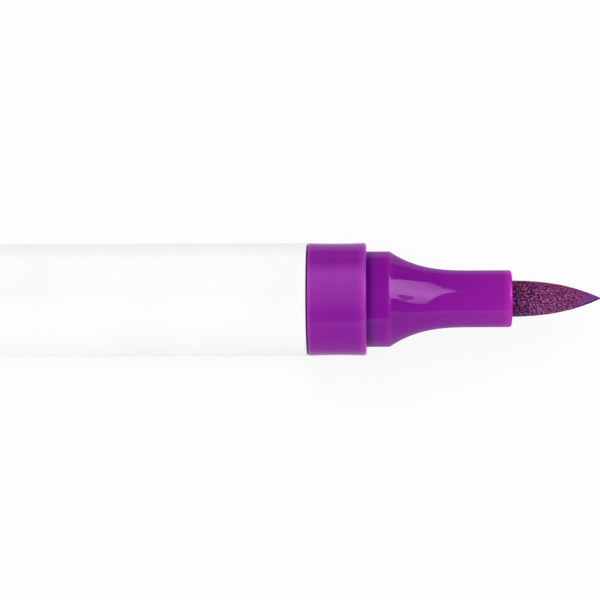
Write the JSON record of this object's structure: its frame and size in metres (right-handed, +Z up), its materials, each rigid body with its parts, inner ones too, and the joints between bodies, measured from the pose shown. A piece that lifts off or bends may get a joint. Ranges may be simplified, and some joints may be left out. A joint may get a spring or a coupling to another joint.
{
  "type": "acrylic paint marker",
  "caption": "Valve-action acrylic paint marker with a pointed brush nib in a flared nose, a waisted collar, a plain barrel and a clip cap posted on its tail.",
  "frame": {"origin": "on the surface the marker lies on, under the middle of its length", "axes": "+X along the marker's axis towards the nib, +Z up, with the cap's clip on top"},
  "size_m": [0.159, 0.0112, 0.0134],
  "materials": {
    "white_plastic": "smooth satin white plastic",
    "purple_satin_plastic": "satin purple plastic",
    "purple_gloss_plastic": "glossy purple plastic",
    "painted_fibre": "porous bonded fibre soaked in purple paint",
    "natural_plastic": "unpigmented moulded plastic",
    "black_rubber": "black sealing rubber",
    "bright_steel": "bright steel"
  },
  "bodies": {
    "barrel_body": {"barrel": "white_plastic", "collar": "purple_satin_plastic", "nose": "purple_gloss_plastic", "nose_seal_ring": "black_rubber", "valve_body": "natural_plastic", "valve_spring": "bright_steel", "spring_retainer": "natural_plastic", "tail_plug": "purple_satin_plastic", "tail_seal_ring": "black_rubber"},
    "nib_body": {"brush_nib": "painted_fibre", "nib_holder": "natural_plastic"},
    "stem_body": {"valve_stem": "natural_plastic", "valve_seal": "black_rubber"},
    "ball_body": {"mixing_ball": "bright_steel"},
    "cap_body": {"cap_shell": "purple_gloss_plastic", "cap_liner": "natural_plastic"}
  },
  "joints": [
    {"name": "nib_press", "type": "slide", "parent": "barrel_body", "child": "nib_body", "axis": [-1, 0, 0], "range_m": [0, 0.0018], "stiffness_N_per_m": 900, "springref_m": -0.001, "deforming": ["valve_spring"]},
    {"name": "stem_slide", "type": "slide", "parent": "barrel_body", "child": "stem_body", "axis": [-1, 0, 0], "range_m": [0, 0.0018]},
    {"name": "cap_pull", "type": "slide", "parent": "barrel_body", "child": "cap_body", "axis": [-1, 0, 0], "range_m": [0, 0.02]},
    {"name": "ball_roll", "type": "slide", "parent": "barrel_body", "child": "ball_body", "axis": [1, 0, 0], "range_m": [-0.0442, 0.0264]}
  ],
  "couplings": [
    {"joint": "stem_slide", "follows": "nib_press", "ratio": 1}
  ]
}
